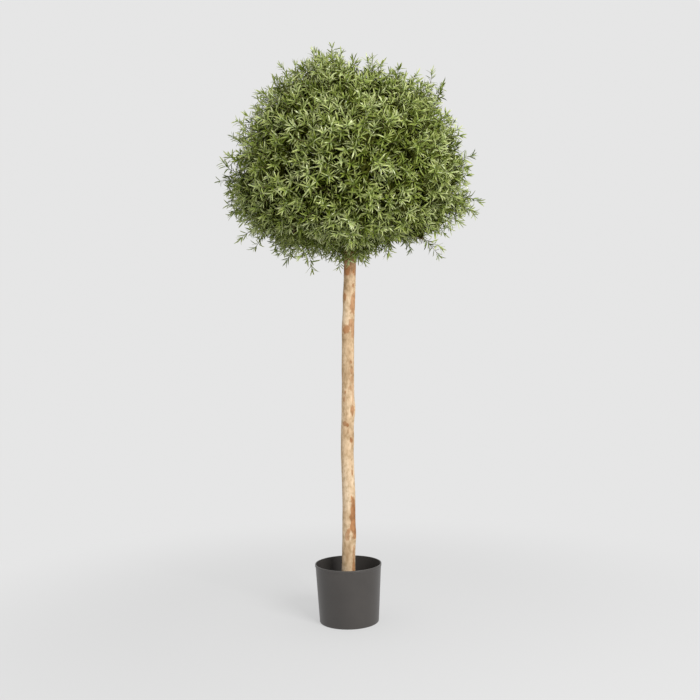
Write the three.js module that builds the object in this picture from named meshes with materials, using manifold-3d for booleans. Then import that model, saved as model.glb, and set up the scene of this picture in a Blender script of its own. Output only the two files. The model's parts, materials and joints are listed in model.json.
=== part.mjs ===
// A standard lollipop topiary: an artificial ball tree, 1.5 m tall. A thin moulded pot holds a heavy cast filler,
// a peeled natural-wood pole stands in the filler, and short boughs round the pole's top carry a dense ball of
// narrow leaves on wired sprigs. Millimetres, +Z up. The origin is the middle of the pot's flat underside, the
// front is -Y, and +X is to the right as seen from the front.

import * as THREE from 'three';
import { mergeVertices } from 'three/addons/utils/BufferGeometryUtils.js';
import Module from 'manifold-3d';

// Driving dimensions

const GAP = 0.3;                  // between pieces that touch

const POT_HEIGHT = 149;
const POT_FOOT_RADIUS = 76.5;
const POT_RIM_RADIUS = 86;
const POT_WALL = 2.2;
const POT_FLOOR = 3;
const POT_LIP_HEIGHT = 7;
const POT_LIP_OUT = 1.4;          // how far the rolled lip stands out of the wall
const POT_FACETS = 48;

const FILLER_TOP = 106;
const FILLER_SOCKET_FLOOR = 48;   // the pole's flat cut foot stands on this
const FILLER_FACETS = 24;

const POLE_FOOT = FILLER_SOCKET_FLOOR + GAP;
const POLE_TIP = 1225;
const POLE_FOOT_RADIUS = 17.6;
const POLE_TIP_RADIUS = 14.6;
const POLE_SIDES = 14;
const POLE_STEPS = 32;
// The pole is a natural stick: it leans to the right and wavers. Each row is the height and the way off the axis.
const POLE_LINE = [
  [POLE_FOOT, 0, 0], [FILLER_TOP, 0, 0], [310, 5, 1.5], [440, 3.5, 2], [570, 8, 0],
  [725, 11.5, -2], [906, 20, 0], [1060, 24, 1], [POLE_TIP, 26, 0],
];
// Grown-over knots: height, angle round the pole from the right, and how far each stands out.
const KNOTS = [[222, -30, 2.4], [383, -95, 1.2], [468, -25, 1.6], [545, -8, 3.2], [757, -150, 2], [842, 200, 1.4]];
const KNOT_SPREAD = 24;

const HUB = new THREE.Vector3(24, 0, 1120);   // the crown's middle, on the pole's line
// How far the leaf tips reach from the hub at even steps from straight down to straight up, on each side.
const REACH_RIGHT = [220, 212, 276, 336, 342, 364, 378];
const REACH_LEFT = [220, 234, 304, 344, 350, 376, 380];

// The masses of foliage in level rings round the pole: count, slope of their middle line, turn of the first one,
// and the height at which their boughs leave the pole.
const RINGS = [
  { name: 'low', count: 7, slope: -25, turn: 12, fork: 1030 },
  { name: 'mid', count: 6, slope: 12, turn: 38, fork: 1098 },
  { name: 'high', count: 4, slope: 47, turn: 5, fork: 1158 },
];
const MASS_GAP = 4;               // kept free between neighbouring masses
const BOUGH_REACH = 142;          // from the hub to a bough's tip
const BOUGH_RADII = [7, 4.6];
const BOUGH_BEND = 0.5;           // share of its run that a bough goes level before it turns to its mass
const CORE_FROM = 154;            // where a mass's core begins, from the hub
const CORE_SHARE = 0.68;          // the core's reach as a share of the leaf tips' reach
const FORK_REACH = 182;           // where a mass's twigs part

const TWIG_COUNT = 100;
const TWIG_TRIES = 40;            // places tried for each twig, of which the one furthest from the rest is kept
const TWIG_RADII = [3.6, 2.4];
const TWIG_LEAN = 0.45;           // how far along its stem's line a twig bends
const TWIG_PULLS = [0, 0.06, 0.12, 0.18, 0.26, 0.34];
const TWIG_ROOM = 4;
const LEAF = { length: 104, width: 30, thick: 2.4, spread: 70 };
const LEAF_SINK = 1;              // a side leaf's point lies this far past its twig's middle line
const TIP_SINK = 5;               // and the tip leaf's point this far inside its twig's end
const LEAF_TILT = 50;             // degrees that a leaf's face turns either way from facing outward
const TIP_LEAF = 0.78;            // the tip leaf's size against the side leaves
const LEAF_PLACES = [0.97, 0.85, 0.7];   // the side leaves' places along a twig
const LEAF_ROOM = 11;             // between the middle lines of two leaves
const LEAF_TRIES = 6;             // turns tried round the twig before a leaf is skipped
const COLLAR_SLOPE = -77;         // one twig of each low mass hangs beside the pole
// Sprigs that stick out of the outline: turn, slope and reach.
const STRAYS = [[-8, -39, 312], [176, -24, 335], [188, 78, 390], [4, 3, 350], [177, 5, 353]];

const GOLDEN_ANGLE = Math.PI * (3 - Math.sqrt(5));
const SEED = 20;

// Solids

const wasm = await Module();
wasm.setup();

function solid(geometry) {
  const bare = geometry.clone();
  bare.deleteAttribute('normal');
  bare.deleteAttribute('uv');
  const merged = mergeVertices(bare, 1e-4);
  return new wasm.Manifold(new wasm.Mesh({
    numProp: 3,
    vertProperties: new Float32Array(merged.attributes.position.array),
    triVerts: new Uint32Array(merged.index.array),
  }));
}

function geometryOf(manifold) {
  const mesh = manifold.getMesh();
  const geometry = new THREE.BufferGeometry();
  geometry.setAttribute('position', new THREE.BufferAttribute(mesh.vertProperties, 3));
  geometry.setIndex(new THREE.BufferAttribute(mesh.triVerts, 1));
  geometry.computeVertexNormals();
  return geometry;
}

// The largest body of a solid, without loose scraps and with any sealed hollow filled.
function wholeBody(manifold) {
  const bodies = manifold.decompose();
  return bodies.reduce((best, body) => (body.volume() > best.volume() ? body : best));
}

// A limb along a curve: radiusAt(share of the length, angle round it) gives its thickness.
function limb(curve, radiusAt, sides, steps) {
  const geometry = new THREE.CylinderGeometry(1, 1, 1, sides, steps);
  const frames = curve.computeFrenetFrames(steps);
  const position = geometry.attributes.position;
  for (let i = 0; i < position.count; i += 1) {
    const step = Math.round((position.getY(i) + 0.5) * steps);
    const side = frames.binormals[step].clone().multiplyScalar(position.getX(i));
    const front = frames.normals[step].clone().multiplyScalar(position.getZ(i));
    const offset = side.add(front);
    const radius = radiusAt(step / steps, Math.atan2(offset.y, offset.x));
    const place = curve.getPointAt(step / steps).addScaledVector(offset, radius);
    position.setXYZ(i, place.x, place.y, place.z);
  }
  return geometry;
}

const taper = ([from, to]) => (share) => from + (to - from) * share;

function seededRandom(seed) {
  let state = seed;
  return () => {
    state = (state + 0x6d2b79f5) | 0;
    let t = Math.imul(state ^ (state >>> 15), 1 | state);
    t = (t + Math.imul(t ^ (t >>> 7), 61 | t)) ^ t;
    return ((t ^ (t >>> 14)) >>> 0) / 4294967296;
  };
}

const direction = (turn, slope) => new THREE.Vector3(
  Math.cos(slope) * Math.cos(turn), Math.cos(slope) * Math.sin(turn), Math.sin(slope));

const tree = new THREE.Group();

function place(name, geometry, material) {
  const mesh = new THREE.Mesh(geometry, material);
  mesh.name = name;
  tree.add(mesh);
}

// Pot and filler

const potPlastic = new THREE.MeshStandardMaterial({ color: 0x4a4845, roughness: 0.5, metalness: 0 });
const fillerStone = new THREE.MeshStandardMaterial({ color: 0x34302b, roughness: 0.95, metalness: 0 });

const potRadiusAt = (z) => POT_FOOT_RADIUS + (POT_RIM_RADIUS - POT_LIP_OUT - POT_FOOT_RADIUS) * (z / POT_HEIGHT);

function lathe(profile, facets) {
  const geometry = new THREE.LatheGeometry(profile.map(([r, z]) => new THREE.Vector2(r, z)), facets);
  return geometry.rotateX(Math.PI / 2);
}

function makePot() {
  const lipFoot = POT_HEIGHT - POT_LIP_HEIGHT;
  const profile = [
    [0, 0], [POT_FOOT_RADIUS - 1.5, 0], [potRadiusAt(2), 2], [potRadiusAt(lipFoot), lipFoot],
    [POT_RIM_RADIUS, lipFoot + POT_LIP_OUT], [POT_RIM_RADIUS, POT_HEIGHT - 1], [POT_RIM_RADIUS - 1, POT_HEIGHT],
    [POT_RIM_RADIUS - POT_LIP_OUT - POT_WALL, POT_HEIGHT], [potRadiusAt(POT_FLOOR) - POT_WALL, POT_FLOOR],
    [0, POT_FLOOR],
  ];
  return lathe(profile, POT_FACETS);
}

// The filler keeps clear of the pot's wall and floor and of the pole's foot.
function makeFiller() {
  const foot = POT_FLOOR + GAP;
  const socket = (POLE_FOOT_RADIUS + GAP) / Math.cos(Math.PI / FILLER_FACETS);
  const radiusAt = (z) => potRadiusAt(z) * Math.cos(Math.PI / POT_FACETS) - POT_WALL - GAP;
  const profile = [
    [0, foot], [radiusAt(foot), foot], [radiusAt(FILLER_TOP), FILLER_TOP],
    [socket, FILLER_TOP], [socket, FILLER_SOCKET_FLOOR], [0, FILLER_SOCKET_FLOOR],
  ];
  return lathe(profile, FILLER_FACETS);
}

place('pot', makePot(), potPlastic);
place('filler', makeFiller(), fillerStone);

// Trunk

const poleWood = new THREE.MeshStandardMaterial({ color: 0xd9bd94, roughness: 0.7, metalness: 0 });

const poleLine = new THREE.CatmullRomCurve3(POLE_LINE.map(([z, x, y]) => new THREE.Vector3(x, y, z)));
const poleRadiusAt = (z) => {
  const share = (z - POLE_FOOT) / (POLE_TIP - POLE_FOOT);
  return POLE_FOOT_RADIUS + (POLE_TIP_RADIUS - POLE_FOOT_RADIUS) * share;
};

// The middle of the pole at a height, by halving.
function poleAt(z) {
  let low = 0;
  let high = 1;
  for (let i = 0; i < 30; i += 1) {
    const middle = (low + high) / 2;
    if (poleLine.getPointAt(middle).z < z) low = middle;
    else high = middle;
  }
  return poleLine.getPointAt(low);
}

function makeTrunk() {
  return limb(poleLine, (share, angle) => {
    const z = poleLine.getPointAt(share).z;
    let radius = poleRadiusAt(z);
    for (const [height, turn, size] of KNOTS) {
      const facing = Math.max(0, Math.cos(angle - THREE.MathUtils.degToRad(turn)));
      radius += size * facing ** 3 * Math.exp(-(((z - height) / KNOT_SPREAD) ** 2));
    }
    return radius;
  }, POLE_SIDES, POLE_STEPS);
}

place('trunk', makeTrunk(), poleWood);

// The ball of leaves: the reach of its leaf tips, and the space of each mass

const reachCurves = [REACH_RIGHT, REACH_LEFT].map((reaches) => new THREE.SplineCurve(
  reaches.map((reach, i) => new THREE.Vector2(i, reach))));

function reachAlong(unit) {
  const step = THREE.MathUtils.clamp(0.5 + Math.asin(unit.z) / Math.PI, 0, 1);
  const [right, left] = reachCurves.map((curve) => curve.getPoint(step).y);
  const flat = Math.hypot(unit.x, unit.y) || 1;
  return left + (right - left) * (0.5 + 0.5 * unit.x / flat);
}

const withinReach = (point) => {
  const out = point.clone().sub(HUB);
  return out.length() < reachAlong(out.clone().normalize());
};

function makeMasses() {
  const masses = [];
  for (const ring of RINGS) {
    for (let i = 0; i < ring.count; i += 1) {
      const turn = THREE.MathUtils.degToRad(ring.turn + (360 / ring.count) * i);
      const axis = direction(turn, THREE.MathUtils.degToRad(ring.slope));
      masses.push({ name: `${ring.name}_${i + 1}`, ring: ring.name, turn, axis, fork: ring.fork, blades: [] });
    }
  }
  masses.push({ name: 'top', ring: 'top', turn: 0, axis: new THREE.Vector3(0, 0, 1), blades: [] });
  // Each mass keeps to its side of the planes halfway to every other one.
  for (const mass of masses) {
    const others = masses.filter((other) => other !== mass);
    mass.walls = others.map((other) => mass.axis.clone().sub(other.axis).normalize());
  }
  return masses;
}

const masses = makeMasses();

const inSpace = (mass, point) => {
  const out = point.clone().sub(HUB);
  return mass.walls.every((wall) => out.dot(wall) > MASS_GAP / 2);
};

// Boughs

const branchWood = new THREE.MeshStandardMaterial({ color: 0x6b4a2f, roughness: 0.85, metalness: 0 });

function boughLine(mass) {
  const outward = direction(mass.turn, 0);
  const start = poleAt(mass.fork).addScaledVector(outward, poleRadiusAt(mass.fork) + GAP);
  const end = HUB.clone().addScaledVector(mass.axis, BOUGH_REACH);
  const run = end.clone().sub(start).dot(outward);
  return new THREE.QuadraticBezierCurve3(start, start.clone().addScaledVector(outward, run * BOUGH_BEND), end);
}

// Balls along every limb, which the leaves keep clear of.
const limbBalls = [];
function keepClearOf(curve, radiusAt, count) {
  for (let i = 0; i <= count; i += 1) {
    limbBalls.push({ centre: curve.getPointAt(i / count), radius: radiusAt(i / count) });
  }
}
keepClearOf(poleLine, (share) => poleRadiusAt(poleLine.getPointAt(share).z), 200);

for (const mass of masses) {
  if (mass.ring === 'top') {
    mass.entry = poleAt(POLE_TIP).add(new THREE.Vector3(0, 0, GAP));
    mass.entryWay = new THREE.Vector3(0, 0, 1);
  } else {
    const line = boughLine(mass);
    place(`bough_${mass.name}`, limb(line, taper(BOUGH_RADII), 6, 4), branchWood);
    keepClearOf(line, taper(BOUGH_RADII), 20);
    mass.entryWay = line.getTangentAt(1);
    mass.entry = line.getPointAt(1).addScaledVector(mass.entryWay, GAP);
  }
}

const ballsClear = (nearestTo, room) => limbBalls.every(
  ({ centre, radius }) => nearestTo(centre).distanceTo(centre) > radius + room);
const pointClear = (point, room) => ballsClear(() => point, room);
const lineClear = (from, to, room) => {
  const line = new THREE.Line3(from, to);
  return ballsClear((centre) => line.closestPointToPoint(centre, true, new THREE.Vector3()), room);
};

// Masses of foliage

const foliageGreen = new THREE.MeshStandardMaterial({ color: 0x6f8a3d, roughness: 0.6, metalness: 0 });

// The core is a low ball whose corners move out to the walls of the mass's space.
function makeCore(mass) {
  const middle = HUB.clone().addScaledVector(mass.axis, FORK_REACH);
  const ball = new THREE.IcosahedronGeometry(1, 1);
  const position = ball.attributes.position;
  const inCore = (point) => {
    const out = point.clone().sub(HUB);
    const reach = reachAlong(out.clone().normalize()) * CORE_SHARE;
    return inSpace(mass, point) && out.dot(mass.axis) > CORE_FROM && out.length() < reach && pointClear(point, 6);
  };
  for (let i = 0; i < position.count; i += 1) {
    const unit = new THREE.Vector3().fromBufferAttribute(position, i).normalize();
    let low = 4;
    let high = 200;
    for (let k = 0; k < 24; k += 1) {
      const far = (low + high) / 2;
      if (inCore(middle.clone().addScaledVector(unit, far))) low = far;
      else high = far;
    }
    const corner = middle.clone().addScaledVector(unit, low);
    position.setXYZ(i, corner.x, corner.y, corner.z);
  }
  return solid(ball);
}

// A leaf from its root, pointing one way, with its broad side facing another.
function makeLeaf(root, way, facing, size, sink) {
  const leaf = new THREE.OctahedronGeometry(1);
  leaf.scale((LEAF.width / 2) * size, LEAF.thick / 2, (LEAF.length / 2) * size);
  leaf.translate(0, 0, (LEAF.length / 2) * size - sink);
  const across = facing.clone().cross(way).normalize();
  const face = way.clone().cross(across);
  leaf.applyMatrix4(new THREE.Matrix4().makeBasis(across, face, way).setPosition(root));
  return leaf;
}

function keepsToSpace(mass, geometry) {
  const position = geometry.attributes.position;
  for (let i = 0; i < position.count; i += 1) {
    if (!inSpace(mass, new THREE.Vector3().fromBufferAttribute(position, i))) return false;
  }
  return true;
}

// A leaf fits where it stays in its mass's space and passes clear of the limbs and of the leaves grown before it.
function leafFits(mass, leaf, root, end) {
  const blade = new THREE.Line3(root.clone().lerp(end, 0.25), end);
  const apart = (point, other) => other.closestPointToPoint(point, true, new THREE.Vector3()).distanceTo(point);
  const fits = keepsToSpace(mass, leaf) && lineClear(root, end, LEAF.width * 0.45)
    && mass.blades.every((other) => [0, 0.33, 0.67, 1].every((share) => (
      apart(blade.at(share, new THREE.Vector3()), other) > LEAF_ROOM
      && apart(other.at(share, new THREE.Vector3()), blade) > LEAF_ROOM)));
  if (fits) mass.blades.push(blade);
  return fits;
}

// A twig runs from the mass's fork to its tip. It leans towards the mass's middle line as far as it must for the
// leaf at its tip to fit. Its other leaves stand out sideways near its end, each turned on from the last by the
// golden angle, and further where it would leave the mass's space or touch a limb; one that never fits is skipped.
function growTwig(mass, random, aim, reach) {
  const fork = HUB.clone().addScaledVector(mass.axis, FORK_REACH);
  const tipFacing = direction(random() * 2 * Math.PI, 0);
  for (const pull of TWIG_PULLS) {
    const unit = aim.clone().lerp(mass.axis, pull).normalize();
    const tip = HUB.clone().addScaledVector(unit, reach - LEAF.length * TIP_LEAF + TIP_SINK);
    const bend = fork.clone().addScaledVector(mass.axis, tip.distanceTo(fork) * TWIG_LEAN).lerp(tip, 0.3);
    const line = new THREE.QuadraticBezierCurve3(fork, bend, tip);
    const twig = limb(line, taper(TWIG_RADII), 3, 2);
    const tipLeaf = makeLeaf(tip, unit, tipFacing, TIP_LEAF, TIP_SINK);
    if (!keepsToSpace(mass, twig) || !lineClear(fork, tip, TWIG_ROOM)) continue;
    if (!leafFits(mass, tipLeaf, tip, tip.clone().addScaledVector(unit, LEAF.length * TIP_LEAF))) continue;
    return [twig, tipLeaf, ...growSideLeaves(mass, random, line)];
  }
  return [];
}

function growSideLeaves(mass, random, line) {
  const leaves = [];
  let turn = random() * 2 * Math.PI;
  for (const share of LEAF_PLACES) {
    const root = line.getPointAt(share);
    const along = line.getTangentAt(share);
    const sideways = new THREE.Vector3(0, 0, 1).cross(along).normalize();
    const size = 0.86 + 0.14 * random();
    const tilt = THREE.MathUtils.degToRad(LEAF_TILT) * (2 * random() - 1);
    for (let i = 0; i < LEAF_TRIES; i += 1) {
      turn += i === 0 ? GOLDEN_ANGLE : Math.PI / 3;
      const hinge = sideways.clone().applyAxisAngle(along, turn);
      const way = along.clone().applyAxisAngle(hinge, THREE.MathUtils.degToRad(LEAF.spread));
      const leaf = makeLeaf(root, way, along.clone().applyAxisAngle(way, tilt), size, LEAF_SINK);
      const end = root.clone().addScaledVector(way, LEAF.length * size);
      if (withinReach(end) && leafFits(mass, leaf, root, end)) {
        leaves.push(leaf);
        break;
      }
    }
  }
  return leaves;
}

const nearestMass = (unit) => masses.reduce((best, mass) => (
  mass.axis.dot(unit) > best.axis.dot(unit) ? mass : best));

// The twigs' directions and reaches, spread evenly over the crown's surface.
function twigTips() {
  const random = seededRandom(SEED);
  const tips = [];
  const ends = [];
  while (tips.length < TWIG_COUNT) {
    let best = null;
    for (let i = 0; i < TWIG_TRIES; i += 1) {
      const unit = direction(2 * Math.PI * random(), Math.asin(2 * random() - 1));
      if (unit.z < Math.sin(THREE.MathUtils.degToRad(COLLAR_SLOPE + 10))) continue;
      const end = unit.clone().multiplyScalar(reachAlong(unit));
      const room = ends.reduce((least, other) => Math.min(least, end.distanceTo(other)), Infinity);
      if (best === null || room > best.room) best = { unit, end, room };
    }
    ends.push(best.end);
    tips.push({ unit: best.unit, reach: best.end.length() * (0.96 + 0.04 * random()) });
  }
  for (const mass of masses.filter(({ ring }) => ring === 'low')) {
    const unit = direction(mass.turn, THREE.MathUtils.degToRad(COLLAR_SLOPE));
    tips.push({ unit, reach: reachAlong(unit) });
  }
  for (const [turn, slope, reach] of STRAYS) {
    tips.push({ unit: direction(THREE.MathUtils.degToRad(turn), THREE.MathUtils.degToRad(slope)), reach });
  }
  return tips;
}

const tips = twigTips();

for (const [number, mass] of masses.entries()) {
  const random = seededRandom(SEED + 1 + number);
  const fork = HUB.clone().addScaledVector(mass.axis, FORK_REACH);
  const stemLine = new THREE.QuadraticBezierCurve3(
    mass.entry, mass.entry.clone().addScaledVector(mass.entryWay, 16), fork);
  const stem = limb(stemLine, taper([BOUGH_RADII[1], 4]), 6, 2);
  let body = makeCore(mass).add(solid(stem));
  for (const { unit, reach } of tips) {
    if (nearestMass(unit) !== mass) continue;
    const parts = growTwig(mass, random, unit, reach);
    for (const part of parts) body = body.add(solid(part));
  }
  place(`foliage_${mass.name}`, geometryOf(wholeBody(body)), foliageGreen);
}

export default tree;
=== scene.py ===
# A standard lollipop topiary: an artificial ball tree 1.5 m tall. A thin moulded pot holds a heavy cast
# filler, a peeled natural-wood pole stands in the filler, and short boughs round the pole's top carry a
# dense ball of narrow leaves on wired sprigs. Metres, +Z up, front towards -Y. The sections follow the tree
# as it is put together.

import json
import math

import bpy
import numpy as np
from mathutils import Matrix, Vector, noise

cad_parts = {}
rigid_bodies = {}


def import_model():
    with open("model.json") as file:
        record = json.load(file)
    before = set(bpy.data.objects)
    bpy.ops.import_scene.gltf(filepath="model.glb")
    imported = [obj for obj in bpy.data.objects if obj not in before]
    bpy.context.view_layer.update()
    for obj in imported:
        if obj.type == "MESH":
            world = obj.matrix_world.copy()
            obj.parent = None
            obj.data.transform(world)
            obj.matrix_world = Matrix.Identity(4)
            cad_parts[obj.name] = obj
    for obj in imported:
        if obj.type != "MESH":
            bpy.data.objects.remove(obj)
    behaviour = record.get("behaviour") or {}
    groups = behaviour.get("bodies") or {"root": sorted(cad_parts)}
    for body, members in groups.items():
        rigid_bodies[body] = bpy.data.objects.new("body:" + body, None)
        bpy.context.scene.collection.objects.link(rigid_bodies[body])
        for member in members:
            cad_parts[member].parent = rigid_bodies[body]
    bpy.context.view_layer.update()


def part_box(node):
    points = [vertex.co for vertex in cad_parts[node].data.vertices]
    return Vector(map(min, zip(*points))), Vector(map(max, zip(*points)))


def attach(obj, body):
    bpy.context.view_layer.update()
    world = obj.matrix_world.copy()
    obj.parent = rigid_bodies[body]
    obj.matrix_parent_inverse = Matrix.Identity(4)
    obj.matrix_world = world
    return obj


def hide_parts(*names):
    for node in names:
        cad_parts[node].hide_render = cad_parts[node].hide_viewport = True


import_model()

# Studio. A pale sweep of painted floor runs out into an even pale surround. One large soft lamp stands high
# on the right in front, and the camera is level, a little below the middle of the tree, and turned by a
# degree.

SURROUND_GREY = 0.79
FLOOR_GREY = 0.56
FLOOR_RADIUS = 2.6
FLOOR_SIDES = 96
FLOOR_FADE = (0.45, 1.4)
FLOOR_GLOW = 0.58  # how much the lit sweep behind the floor evens out its shadows
CAMERA_PLACE = (0.0161, -2.27, 0.7014)
CAMERA_ROLL = math.radians(1.2)
LAMP_PLACE = (1.7, -2.6, 2.0)
LAMP_AIM = (0, 0, 0.9)
LAMP_SIZE = 1.5
LAMP_WATTS = 116


def placed(name, data):
    """A new object in the scene."""
    thing = bpy.data.objects.new(name, data)
    bpy.context.scene.collection.objects.link(thing)
    return thing


camera = placed("camera", bpy.data.cameras.new("camera"))
camera.data.lens = 45
camera.data.sensor_width = 36
camera.location = CAMERA_PLACE
camera.rotation_euler = (math.radians(90), CAMERA_ROLL, 0)
bpy.context.scene.camera = camera
bpy.context.scene.view_settings.view_transform = "Standard"

world = bpy.data.worlds.new("surround")
world.use_nodes = True
world.node_tree.nodes["Background"].inputs["Color"].default_value = (SURROUND_GREY,) * 3 + (1,)
bpy.context.scene.world = world

lamp = placed("key_lamp", bpy.data.lights.new("key_lamp", "AREA"))
lamp.data.size = LAMP_SIZE
lamp.data.energy = LAMP_WATTS
lamp.location = LAMP_PLACE
lamp.rotation_euler = (Vector(LAMP_AIM) - Vector(LAMP_PLACE)).to_track_quat("-Z", "Y").to_euler()


def feed(node, inputs):
    """Sets a node's inputs, by name or number, to plain values or to the outputs that feed them."""
    for key, value in inputs.items():
        if isinstance(value, bpy.types.NodeSocket):
            node.id_data.links.new(value, node.inputs[key])
        else:
            node.inputs[key].default_value = value


def add_node(tree, kind, inputs=(), **settings):
    """A new node of a tree, with its settings and what feeds it."""
    node = tree.nodes.new(kind)
    for key, value in settings.items():
        setattr(node, key, value)
    feed(node, dict(inputs))
    return node


def blank_material(name):
    material = bpy.data.materials.new(name)
    material.use_nodes = True
    return material, material.node_tree, material.node_tree.nodes["Principled BSDF"]


def make_floor():
    material, tree, surface = blank_material("floor_paint")
    feed(surface, {"Base Color": (FLOOR_GREY,) * 3 + (1,), "Roughness": 0.9, "Specular IOR Level": 0.1})
    glow = add_node(tree, "ShaderNodeEmission", {"Color": (SURROUND_GREY,) * 3 + (1,)})
    place = add_node(tree, "ShaderNodeTexCoord")
    length = add_node(tree, "ShaderNodeVectorMath", {0: place.outputs["Object"]}, operation="LENGTH")
    fade = add_node(tree, "ShaderNodeMapRange", {
        "Value": length.outputs["Value"], "From Min": FLOOR_FADE[0], "From Max": FLOOR_FADE[1],
        "To Min": FLOOR_GLOW}, interpolation_type="SMOOTHSTEP")
    blend = add_node(tree, "ShaderNodeMixShader", {
        "Fac": fade.outputs["Result"], 1: surface.outputs["BSDF"], 2: glow.outputs["Emission"]})
    feed(tree.nodes["Material Output"], {"Surface": blend.outputs["Shader"]})
    turns = np.linspace(0, 2 * math.pi, FLOOR_SIDES, endpoint=False)
    rim = [(FLOOR_RADIUS * math.cos(turn), FLOOR_RADIUS * math.sin(turn), 0) for turn in turns]
    mesh = bpy.data.meshes.new("floor")
    mesh.from_pydata(rim, [], [range(FLOOR_SIDES)])
    mesh.materials.append(material)
    floor = placed("floor", mesh)


make_floor()

# Pot. An injection-moulded nursery pot in dark grey plastic, satin outside and dull inside, with painted
# shade making its inside darker, a thin wall, a slightly wider rim band and a rounded foot. It is one
# moulding, and the cast filler weighs it down.

POT_WALL = 0.0022
POT_FLOOR = 0.003
POT_FOOT_RADIUS = 0.0765
POT_UNDERSIDE_RING = 0.060  # its innermost rings, under it and on its floor
POT_FLOOR_RING = 0.02
POT_LIP_HEIGHT = 0.007
POT_LIP_OUT = 0.0008
# Roundings from the foot up the outside, over the brim and down to the floor.
POT_ROUNDINGS = (0.0022, 0.0006, 0.0009, 0.0008, 0.0007, 0.001)
POT_ARC_STEPS = 5
POT_SIDES = 144
HAIR = 1e-6  # too little to see
# Stops of a factor and a colour or a grey.
POT_COLOURS = [(0.3, (0.0345, 0.0300, 0.0268)), (0.7, (0.0422, 0.0368, 0.0328))]
# Painted shade: the pot's inside is multiplied darker than its outside.
POT_INSIDE_PAINTED_SHADE = [(0.0, (1, 1, 1)), (1.0, (0.42, 0.38, 0.34))]
POT_ROUGHNESS = [(0.3, 0.36), (0.7, 0.44)]
POT_INSIDE_ROUGHNESS = [(0.0, 0.0), (1.0, 0.72)]

pot_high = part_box("pot")[1]
pot_rim_radius = pot_high.x
pot_height = pot_high.z


def noise_on(tree, scale, detail, stretch=(1, 1, 1)):
    """Noise on the piece's own coordinates, finer along an axis with a larger stretch."""
    place = add_node(tree, "ShaderNodeTexCoord")
    mapping = add_node(tree, "ShaderNodeMapping", {"Vector": place.outputs["Object"], "Scale": stretch})
    pattern = add_node(tree, "ShaderNodeTexNoise", {
        "Vector": mapping.outputs["Vector"], "Scale": scale, "Detail": detail})
    return pattern.outputs["Fac"]


def ramp(tree, factor, stops):
    """Maps a factor to colours or greys, given as (place, colour) stops."""
    node = add_node(tree, "ShaderNodeValToRGB", {"Fac": factor})
    elements = node.color_ramp.elements
    while len(elements) < len(stops):
        elements.new(0.5)
    for element, (place, colour) in zip(elements, stops):
        element.position = place
        element.color = (*np.broadcast_to(colour, 3), 1)
    return node.outputs["Color"]


def mixed(tree, first, second, share=1, blend="MULTIPLY"):
    """One colour times another, or another blend of the two, by a share of the full effect."""
    node = add_node(tree, "ShaderNodeMix", {"Factor": share, "A": first, "B": second},
                    data_type="RGBA", blend_type=blend)
    return node.outputs["Result"]


def relief(tree, height, strength, distance):
    """Fine relief in the light alone, from a pattern."""
    node = add_node(tree, "ShaderNodeBump", {"Height": height, "Strength": strength, "Distance": distance})
    return node.outputs["Normal"]


def point_value(tree, name):
    """A number that each point of the piece carries."""
    return add_node(tree, "ShaderNodeAttribute", attribute_name=name).outputs["Fac"]


def give_points(mesh, name, values, kind="FLOAT"):
    """Values that the points of a mesh carry under a name."""
    data = mesh.attributes.new(name, kind, "POINT").data
    data.foreach_set("vector" if kind == "FLOAT_VECTOR" else "value", np.ravel(values))


def rounded(corners):
    """A profile of (radius, height, rounding) corners with each rounding made an arc."""
    points = []
    for i, (r, z, rounding) in enumerate(corners):
        here = Vector((r, z))
        if rounding == 0:
            points.append((r, z))
            continue
        before = (Vector(corners[i - 1][:2]) - here).normalized()
        after = (Vector(corners[i + 1][:2]) - here).normalized()
        start, end = here + before * rounding, here + after * rounding
        for k in range(POT_ARC_STEPS + 1):
            share = k / POT_ARC_STEPS
            point = start * (1 - share) ** 2 + here * 2 * share * (1 - share) + end * share ** 2
            points.append((point.x, point.y))
    return points


def ringed_mesh(name, tubes, material):
    """A mesh of closed tubes, each given as rings of points and the middle points that close its ends."""
    points, faces = np.empty((0, 3)), []
    for rings, first, last in tubes:
        count, sides = rings.shape[:2]
        ring = len(points) + np.arange(count * sides).reshape(count, sides)
        ahead = np.roll(ring, -1, axis=1)
        faces += np.stack([ring[:-1], ahead[:-1], ahead[1:], ring[1:]], axis=-1).reshape(-1, 4).tolist()
        foot = len(points) + count * sides
        faces += [(foot, b, a) for a, b in zip(ring[0].tolist(), ahead[0].tolist())]
        faces += [(foot + 1, a, b) for a, b in zip(ring[-1].tolist(), ahead[-1].tolist())]
        points = np.vstack([points, rings.reshape(-1, 3), [first], [last]])
    mesh = bpy.data.meshes.new(name)
    mesh.from_pydata(points.tolist(), [], faces)
    mesh.polygons.foreach_set("use_smooth", np.ones(len(mesh.polygons), bool))
    mesh.materials.append(material)
    return mesh


def link_piece(name, mesh, replaced):
    """Puts a piece in the scene in place of the nodes that it replaces."""
    piece = placed(name, mesh)
    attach(piece, "root")
    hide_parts(*replaced)


def lathe(profile, sides):
    turns = np.linspace(0, 2 * math.pi, sides, endpoint=False)
    return np.array([[(r * math.cos(a), r * math.sin(a), z) for a in turns] for r, z in profile])


def pot_wall_radius(z):
    return POT_FOOT_RADIUS + (pot_rim_radius - POT_LIP_OUT - POT_FOOT_RADIUS) * z / pot_height


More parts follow.
